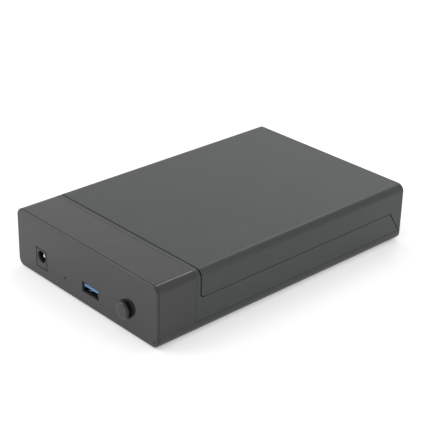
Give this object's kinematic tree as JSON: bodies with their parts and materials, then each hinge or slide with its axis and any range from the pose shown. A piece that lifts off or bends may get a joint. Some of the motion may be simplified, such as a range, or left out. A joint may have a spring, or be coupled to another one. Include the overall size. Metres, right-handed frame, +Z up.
{
  "type": "external hard drive enclosure",
  "caption": "Flat desktop enclosure for a 3.5 inch hard drive, with a sliding lid, a port end cap, a power button and a controller board inside.",
  "frame": {"origin": "middle of the footprint, power button included, on the surface the feet stand on", "axes": "+X to the right across the port face seen from the front, +Y from the port face to the rear, +Z up"},
  "size_m": [0.1156, 0.183, 0.0346],
  "materials": {
    "casing_satin_black": "fine satin grain",
    "cap_gloss_black": "polished",
    "button_black": "satin",
    "plunger_black": "matt",
    "moulded_black": "matt, heat resistant",
    "tongue_blue": "satin",
    "shell_nickel": "bright nickel plate",
    "pin_nickel": "bright nickel plate",
    "contact_gold": "thin gold plate",
    "terminal_tin": "tin plate",
    "spring_steel": "bright wire",
    "screw_black": "black oxide",
    "screw_zinc": "bright zinc",
    "board_green": "solder mask",
    "chip_black": "moulded",
    "ferrite": "dull ferrite",
    "can_aluminium": "bare",
    "base_black": "matt",
    "crystal_steel": "plated",
    "ceramic": "fired ceramic with tinned ends",
    "resistor_black": "glazed, with tinned ends",
    "clear_plastic": "clear",
    "led_white": "white body with a clear lens",
    "foam_grey": "closed cell foam",
    "foot_rubber": "matt"
  },
  "bodies": {
    "housing": {"board_screws": "screw_zinc", "bottom_pan": "casing_satin_black", "bridge_chip": "chip_black", "bridge_chip_leads": "terminal_tin", "capacitor_bases": "base_black", "capacitor_cans": "can_aluminium", "case_screws": "screw_black", "ceramic_capacitors": "ceramic", "chip_resistors": "resistor_black", "controller_board": "board_green", "crystal": "crystal_steel", "dc_jack_body": "moulded_black", "dc_jack_pin": "pin_nickel", "dc_jack_spring": "pin_nickel", "flash_chip": "chip_black", "flash_chip_leads": "terminal_tin", "foot_front_left": "foot_rubber", "foot_front_right": "foot_rubber", "foot_rear_left": "foot_rubber", "foot_rear_right": "foot_rubber", "front_cap": "cap_gloss_black", "light_pipe": "clear_plastic", "power_inductor_core": "ferrite", "power_inductor_terminals": "terminal_tin", "regulator_chip": "chip_black", "regulator_leads": "terminal_tin", "sata_contacts": "contact_gold", "sata_housing": "moulded_black", "schottky_diode": "chip_black", "side_frame": "casing_satin_black", "status_led": "led_white", "switch_body": "moulded_black", "switch_spring": "spring_steel", "switch_terminals": "terminal_tin", "usb_contacts": "contact_gold", "usb_insulator": "tongue_blue", "usb_shell": "shell_nickel"},
    "lid": {"sliding_lid": "casing_satin_black", "lid_foam_front": "foam_grey", "lid_foam_rear": "foam_grey", "rear_foam": "foam_grey"},
    "button": {"power_button": "button_black", "switch_plunger": "plunger_black"}
  },
  "joints": [
    {"name": "lid_slide", "type": "slide", "parent": "housing", "child": "lid", "axis": [0, 1, 0], "range_m": [0, 0.158]},
    {"name": "button_press", "type": "slide", "parent": "housing", "child": "button", "axis": [0, 1, 0], "range_m": [0, 0.0025], "stiffness_N_per_m": 400, "deforming": ["switch_spring"]}
  ]
}
